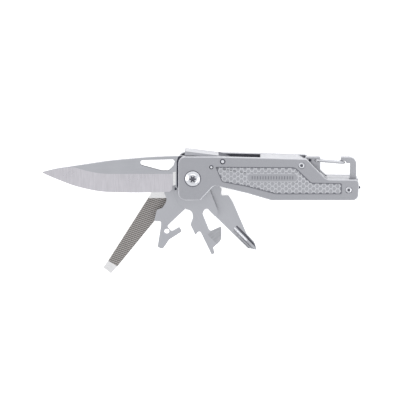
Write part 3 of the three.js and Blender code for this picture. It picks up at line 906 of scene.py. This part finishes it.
# %% Turn the pins
pin_radii = {"stop_pin": 1.1, "lever_pin": 1.5}
pin_end_share, pin_chamfer = 0.62, 0.3
for node, body_radius in pin_radii.items():
    low, high = span(node)
    at = middle(node)[:2]
    end_radius = body_radius * pin_end_share
    pin = turned_piece(
        f"{node}_turned",
        [(end_radius, low.z), (body_radius, low.z + pin_chamfer),
         (body_radius, high.z - pin_chamfer), (end_radius, high.z)],
        at, 32, polished, dark_steel,
    )
    # The chamfers at both ends are painted dark as shade.
    repaint(pin, 1, lambda face: 0.2 < abs(face.normal.z) < 0.98)
    smooth(pin)
    bpy.ops.object.shade_smooth_by_angle(angle=crease_angle)
    finish_piece(pin, "handle", "polished_steel", node)
print("pins turned:", len(pin_radii))

# %% [markdown]
# ## The gate's rear leg
#
# The wire gate turns in one hole of the hook plate, and its rear leg sits in a second one beside it, which
# makes it spring. Only the end of that leg shows, so it is a short turned plug just under the plate's face,
# painted near-black as the shade in the hole.

# %% Fill the spare hole
gate_left, hook_top = span("wire_gate")[0], span("hook_plate")[1]
hole_spacing = 3.4
leg_radius = 0.8
leg_length, leg_drop = 3.45, 0.15
wire_radius = 0.7
leg_at = (gate_left.x + wire_radius - hole_spacing, span("wire_gate")[1].y - wire_radius)
leg_top = hook_top.z - leg_drop
# The plug's near-black steel is painted shade in the hole.
leg = turned_piece("gate_rear_leg", [(leg_radius, leg_top - leg_length), (leg_radius, leg_top)], leg_at, 24,
                   dark_steel)
smooth(leg)
bpy.ops.object.shade_smooth_by_angle(angle=crease_angle)
finish_piece(leg, "handle", "dark_steel")
print("rear leg at", [round(v, 2) for v in leg_at])

# %% [markdown]
# ## The file's teeth
#
# The file is cut with rows of teeth across its width, which a second cut breaks into points. A fine grid
# makes them: every other row is lifted into a ridge, and every other point on a ridge is pressed more than
# half-way down again. The grid is turned to the file's own slant, and five cuts trim it to the toothed
# field. The back face gets a mirrored copy.

# %% Cut the teeth
file_low, file_high = span("file")
tooth_pitch = 1.15
tooth_height = 0.11
tooth_press = 0.6
pressed_shade = 0.45
teeth_lift, teeth_skirt = 0.01, 0.1
rows, columns = 110, 70
field = Vector((-33.5, -34.5))
row_slant = 20
bpy.ops.mesh.primitive_grid_add(x_subdivisions=columns, y_subdivisions=rows, size=1)
teeth = bpy.context.object
teeth.name = teeth.data.name = "file_teeth_front"
paint(teeth, filed)
choose(teeth, lambda face: True)
bpy.ops.transform.resize(value=(columns * tooth_pitch / 2 * mm, rows * tooth_pitch / 2 * mm, 1))
done()


def grid_place(vertex):
    column = round(vertex.co.x / (tooth_pitch / 2 * mm) + columns / 2)
    row = round(vertex.co.y / (tooth_pitch / 2 * mm) + rows / 2)
    return column, row


# The lowered value marks where painted shade goes: fully between the ridges and partly on the pressed points.
lowered = teeth.data.attributes.new("lowered", "FLOAT", "POINT")
for vertex in teeth.data.vertices:
    column, row = grid_place(vertex)
    lowered.data[vertex.index].value = 1.0 if row % 2 else pressed_shade * (column % 2 == 0)
choose(teeth, lambda vertex: grid_place(vertex)[1] % 2 == 0, "VERT")
bpy.ops.transform.translate(value=(0, 0, tooth_height * mm))
done()
choose(teeth, lambda vertex: grid_place(vertex)[1] % 2 == 0 and grid_place(vertex)[0] % 2 == 0, "VERT")
bpy.ops.transform.translate(value=(0, 0, -tooth_height * tooth_press * mm))
done()
choose(teeth, lambda face: True)
bpy.ops.transform.rotate(value=math.radians(row_slant), orient_axis="Z", center_override=(0, 0, 0))
bpy.ops.transform.translate(value=Vector((field.x, field.y, file_high.z + teeth_lift)) * mm)
done()
trims = [((-24.9, -12.4), (-49.3, -51.1)), ((-49.0, -50.8), (-43.8, -54.1)),
         ((-43.8, -54.1), (-14.4, -17.4)), ((-14.8, -17.2), (-14.8, -13.0)),
         ((-14.0, -13.7), (-26.0, -13.7))]
for first, second in trims:
    edge = (Vector(second) - Vector(first)).normalized()
    choose(teeth, lambda face: True)
    bpy.ops.mesh.bisect(plane_co=(first[0] * mm, first[1] * mm, 0),
                        plane_no=(edge.y, -edge.x, 0), clear_outer=True, threshold=1e-7)
    done()
choose(teeth, lambda face: True)
bpy.ops.mesh.region_to_loop()
bpy.ops.mesh.extrude_region_move(TRANSFORM_OT_translate={"value": (0, 0, -teeth_skirt * mm)})
done()
finish_piece(teeth, "file_tool", "file_steel")
back_teeth = mirrored_copy(teeth, "file_teeth_back", (file_low.z + file_high.z) / 2)
finish_piece(back_teeth, "file_tool", "file_steel")
print("teeth faces:", len(teeth.data.polygons), "on each side")

# %% [markdown]
# ## The pressed grip panels
#
# Each scale has a shallow panel with a field of pressed hexagons, which a thumb can feel. The floor of the
# panel is a thin plate, painted darker than the grip as shade, with a near-black border that is painted
# shade. Over it lies the grip: a plate, a little smaller than the recess so that the painted dark line
# shows round it, with rows of six-sided holes through it. One hole is a six-sided cylinder, and Array
# modifiers repeat it at the pitch of the pattern. In the middle a plain badge fills a long hexagon. It
# carries only a row of small upright bars, and a row of short dark dashes, painted shadows, lies above and
# below it.

# %% Panel floor and grip
panel_corners = [(12.9, 7.0, 0.6), (58.9, 6.7, 4), (68.2, -2.3, 2), (85.8, -2.6, 1), (85.8, -9.1, 1),
                 (47.6, -9.1, 8), (31.2, -4.7, 20), (16.8, -2.0, 2)]
grip_corners = [(13.7, 6.5, 0.5), (58.7, 6.2, 3.5), (68.0, -2.8, 2), (85.3, -3.1, 0.8),
                (85.3, -8.6, 0.8), (47.8, -8.6, 8), (31.3, -4.2, 20), (17.1, -1.5, 1.6)]
panel_floor = front_face - panel_depth
floor_top = panel_floor + 0.03
border_width = 0.9
grip_top = front_face - 0.08
floor_piece = outline_plate("panel_floor_front", rounded(panel_corners), panel_floor - 0.05,
                            floor_top, pressed_floor_shade, print_and_shade_line)
choose(floor_piece, lambda face: face.normal.z > 0.99)
bpy.ops.mesh.inset(thickness=border_width * mm, depth=0)
done()
# The floor's outer ring is painted near-black as the shade along the recess wall.
repaint(floor_piece, 1, lambda face: face.normal.z > 0.99 and len(face.vertices) == 4)
grip = outline_plate("grip_front", rounded(grip_corners), floor_top - 0.02, grip_top, pressed)

cell_pitch, cell_row = 3.95, 1.45
cell_radius, cell_stretch = 0.98, 1.22
cells_across, cells_along = 19, 6
first_cell_x, first_cell_y = 14.2, -8.7


def cell_field(name, start_x, start_y):
    bpy.ops.mesh.primitive_cone_add(vertices=6, radius1=cell_radius * 0.86 * mm,
                                    radius2=cell_radius * 1.06 * mm, depth=0.6 * mm)
    cell = bpy.context.object
    cell.name = cell.data.name = name
    choose(cell, lambda face: True)
    bpy.ops.transform.rotate(value=math.radians(30), orient_axis="Z", center_override=(0, 0, 0))
    bpy.ops.transform.resize(value=(1, cell_stretch, 1))
    bpy.ops.transform.translate(value=Vector((start_x, start_y, grip_top - 0.25)) * mm)
    done()
    steps = ((cells_across, (cell_pitch * mm, 0, 0)), (cells_along, (0, 2 * cell_row * mm, 0)))
    for count, offset in steps:
        repeat = live_modifier(cell, "ARRAY", count=count, use_relative_offset=False,
                               use_constant_offset=True, constant_offset_displace=offset)
        bpy.context.view_layer.objects.active = cell
        bpy.ops.object.modifier_apply(modifier=repeat.name)
    paint(cell, pressed)
    return cell


carve(
    grip,
    cell_field("cells_even", first_cell_x, first_cell_y),
    cell_field("cells_odd", first_cell_x + cell_pitch / 2, first_cell_y + cell_row),
)
print("grip faces:", len(grip.data.polygons))

# %% Badge, bars and dashes
badge_corners = [(30.6, 0.4), (32.2, -1.95), (59.2, -1.95), (61.1, 0.5), (59.4, 3.05), (32.0, 3.05)]
badge_rim, badge_sink = 0.35, 0.05
badge = outline_plate("badge_front", badge_corners, floor_top, front_face - 0.02, pressed, blasted)
choose(badge, lambda face: face.normal.z > 0.99)
bpy.ops.mesh.inset(thickness=badge_rim * mm, depth=0)
bpy.ops.mesh.extrude_region_move(TRANSFORM_OT_translate={"value": (0, 0, -badge_sink * mm)})
done()
repaint(badge, 1, lambda face: face.normal.z > 0.99 and face.area > 50 * mm * mm)


def bar_row(name, count, start, pitch, size, top, material):
    length, width, height = size
    bpy.ops.mesh.primitive_cube_add(size=1)
    bar = bpy.context.object
    bar.name = bar.data.name = name
    choose(bar, lambda face: True)
    bpy.ops.transform.resize(value=(length * mm, width * mm, height * mm))
    bpy.ops.transform.translate(value=Vector((start[0], start[1], top - height / 2)) * mm)
    done()
    repeat = live_modifier(bar, "ARRAY", count=count, use_relative_offset=False,
                           use_constant_offset=True, constant_offset_displace=(pitch * mm, 0, 0))
    bpy.context.view_layer.objects.active = bar
    bpy.ops.object.modifier_apply(modifier=repeat.name)
    paint(bar, material)
    return bar


# The dashes are painted shadows of the cells' upper walls.
dash = (2.1, 0.42, 0.2)
front_panel = [
    floor_piece, grip, badge,
    bar_row("badge_bars_front", 16, (34.2, 0.55), 1.55, (0.5, 1.9, 0.12), front_face - 0.03,
            print_and_shade_line),
    bar_row("dashes_upper_front", 7, (34.1, 3.75), cell_pitch, dash, front_face - 0.06, pressed_floor_shade),
    bar_row("dashes_lower_front", 7, (34.1, -2.65), cell_pitch, dash, front_face - 0.06, pressed_floor_shade),
]
for piece in front_panel:
    finish_piece(piece, "handle", "matt_steel")
    twin = mirrored_copy(piece, piece.name.replace("front", "back"), tool_middle)
    finish_piece(twin, "handle", "matt_steel")
print("panel pieces:", len(front_panel) * 2)

# %% [markdown]
# ## Sizes
#
# The box of the finished tool is printed. It should agree with the frame's own box, because soft edges
# and finishes may not make the tool any bigger.

# %% Write the sizes and finish
low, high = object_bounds()
print("visual box", [round(v / mm, 1) for v in high - low], "mm")
